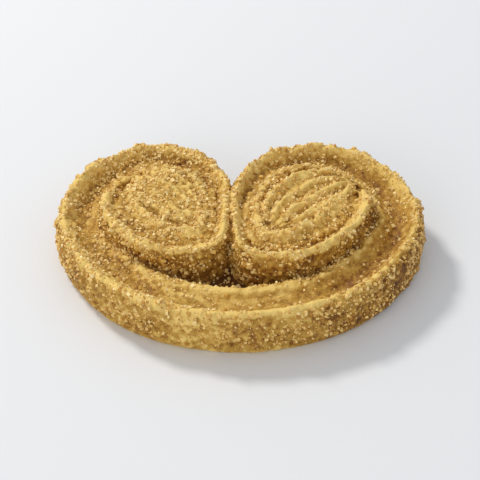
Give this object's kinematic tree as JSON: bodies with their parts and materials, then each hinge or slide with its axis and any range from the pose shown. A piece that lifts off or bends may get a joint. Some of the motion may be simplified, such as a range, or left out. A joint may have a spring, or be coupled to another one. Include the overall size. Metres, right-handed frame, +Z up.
{
  "type": "palmier pastry",
  "caption": "Heart-shaped slice of rolled puff pastry with lobes curling into a cleft, flat underneath and crusted with sugar on top.",
  "frame": {"origin": "middle of the outline's box, on the flat baked underside", "axes": "+Z up from the baked underside, X across both lobes, +Y from the bottom band towards the cleft"},
  "size_m": [0.0694, 0.0486, 0.0123],
  "materials": {
    "crust": "baked golden puff pastry with caramelised edges, dry and slightly glossy where the sugar has melted",
    "sugar": "coarse sugar grains, translucent and golden from baking"
  },
  "bodies": {
    "root": {"palmier": "crust"}
  },
  "joints": []
}
